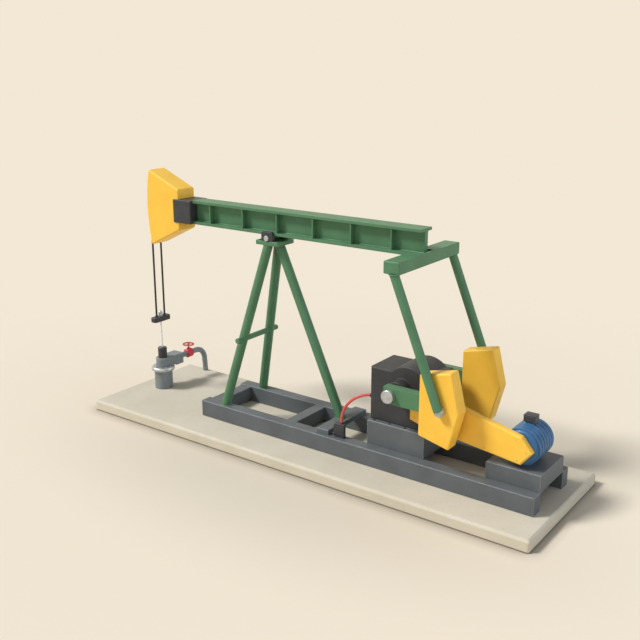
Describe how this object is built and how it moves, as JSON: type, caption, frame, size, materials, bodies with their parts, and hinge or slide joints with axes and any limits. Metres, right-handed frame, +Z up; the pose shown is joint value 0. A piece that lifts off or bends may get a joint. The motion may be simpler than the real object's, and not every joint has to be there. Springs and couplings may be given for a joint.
{
  "type": "pumpjack",
  "caption": "Beam pumping unit on a concrete pad: a motor and gear reducer swing cranks that rock a walking beam, and its horsehead lifts the rod of an oil well.",
  "frame": {"origin": "middle of the concrete pad's underside", "axes": "+X along the skid from the well to the motor, +Y to the side away from the belt guard, +Z up"},
  "size_m": [11.006, 3.22, 5.611],
  "materials": {
    "concrete": "cast and trowelled",
    "skid_grey": "satin grey paint",
    "post_green": "satin green paint",
    "machine_yellow": "satin yellow paint",
    "black_paint": "satin black paint",
    "reducer_charcoal": "dark painted casting",
    "bright_steel": "machined steel",
    "wellhead_grey": "grey painted casting",
    "motor_blue": "satin blue paint",
    "valve_red": "gloss red paint",
    "wire_rope": "greased wire rope",
    "red_sheath": "red cable sheath"
  },
  "bodies": {
    "base": {"concrete_pad": "concrete", "skid_rail_near": "skid_grey", "skid_rail_far": "skid_grey", "front_cross_member": "skid_grey", "middle_cross_member": "skid_grey", "post_cross_beam": "skid_grey", "gearbox_pedestal": "skid_grey", "motor_base": "skid_grey", "front_leg_near": "post_green", "front_leg_far": "post_green", "rear_leg": "post_green", "leg_brace": "post_green", "post_top_plate": "post_green", "saddle_bearing_near": "black_paint", "saddle_bearing_far": "black_paint", "well_casing": "wellhead_grey", "casing_flange": "bright_steel", "flow_tee": "wellhead_grey", "stuffing_box": "black_paint", "valve_body": "valve_red", "flow_line": "wellhead_grey", "gear_reducer": "reducer_charcoal", "belt_guard": "machine_yellow", "motor": "motor_blue", "terminal_box": "black_paint", "control_box": "black_paint", "control_cable": "red_sheath"},
    "beam": {"saddle_shaft": "bright_steel", "walking_beam": "post_green", "horsehead_mount": "black_paint", "horsehead": "machine_yellow", "bridle_wrap": "wire_rope"},
    "pitmans": {"equalizer": "post_green", "equalizer_pin": "bright_steel", "pitman_near": "post_green", "pitman_far": "post_green", "wrist_pin_near": "bright_steel", "wrist_pin_far": "bright_steel"},
    "cranks": {"crankshaft": "bright_steel", "crank_near": "post_green", "crank_far": "post_green", "counterweight_near": "machine_yellow", "counterweight_far": "machine_yellow"},
    "rod": {"bridle_drop": "wire_rope", "carrier_bar": "black_paint", "rod_clamp": "bright_steel", "polished_rod": "bright_steel"},
    "handwheel": {"valve_handwheel": "valve_red"}
  },
  "joints": [
    {"name": "beam_rock", "type": "hinge", "parent": "base", "child": "beam", "pos_m": [-1.24, 0, 4.437], "axis": [0, 1, 0], "range_deg": [-8.5, 8.5]},
    {"name": "tail_swing", "type": "hinge", "parent": "beam", "child": "pitmans", "pos_m": [2.361, 0, 4.398], "axis": [0, 1, 0], "range_deg": [-8.5, 8.5]},
    {"name": "crank_turn", "type": "hinge", "parent": "base", "child": "cranks", "pos_m": [2.245, 0, 1.91], "axis": [0, 1, 0], "range_deg": [-27, 27]},
    {"name": "rod_slide", "type": "slide", "parent": "base", "child": "rod", "axis": [0, 0, 1], "range_m": [-0.533, 0.533]},
    {"name": "valve_turn", "type": "hinge", "parent": "base", "child": "handwheel", "pos_m": [-4.829, 0.9, 1.104], "axis": [0, 0, 1], "continuous": true}
  ],
  "couplings": [
    {"joint": "tail_swing", "follows": "beam_rock", "ratio": -1},
    {"joint": "crank_turn", "follows": "beam_rock", "ratio": 3.15},
    {"joint": "rod_slide", "follows": "beam_rock", "m_per_rad": 3.586}
  ]
}
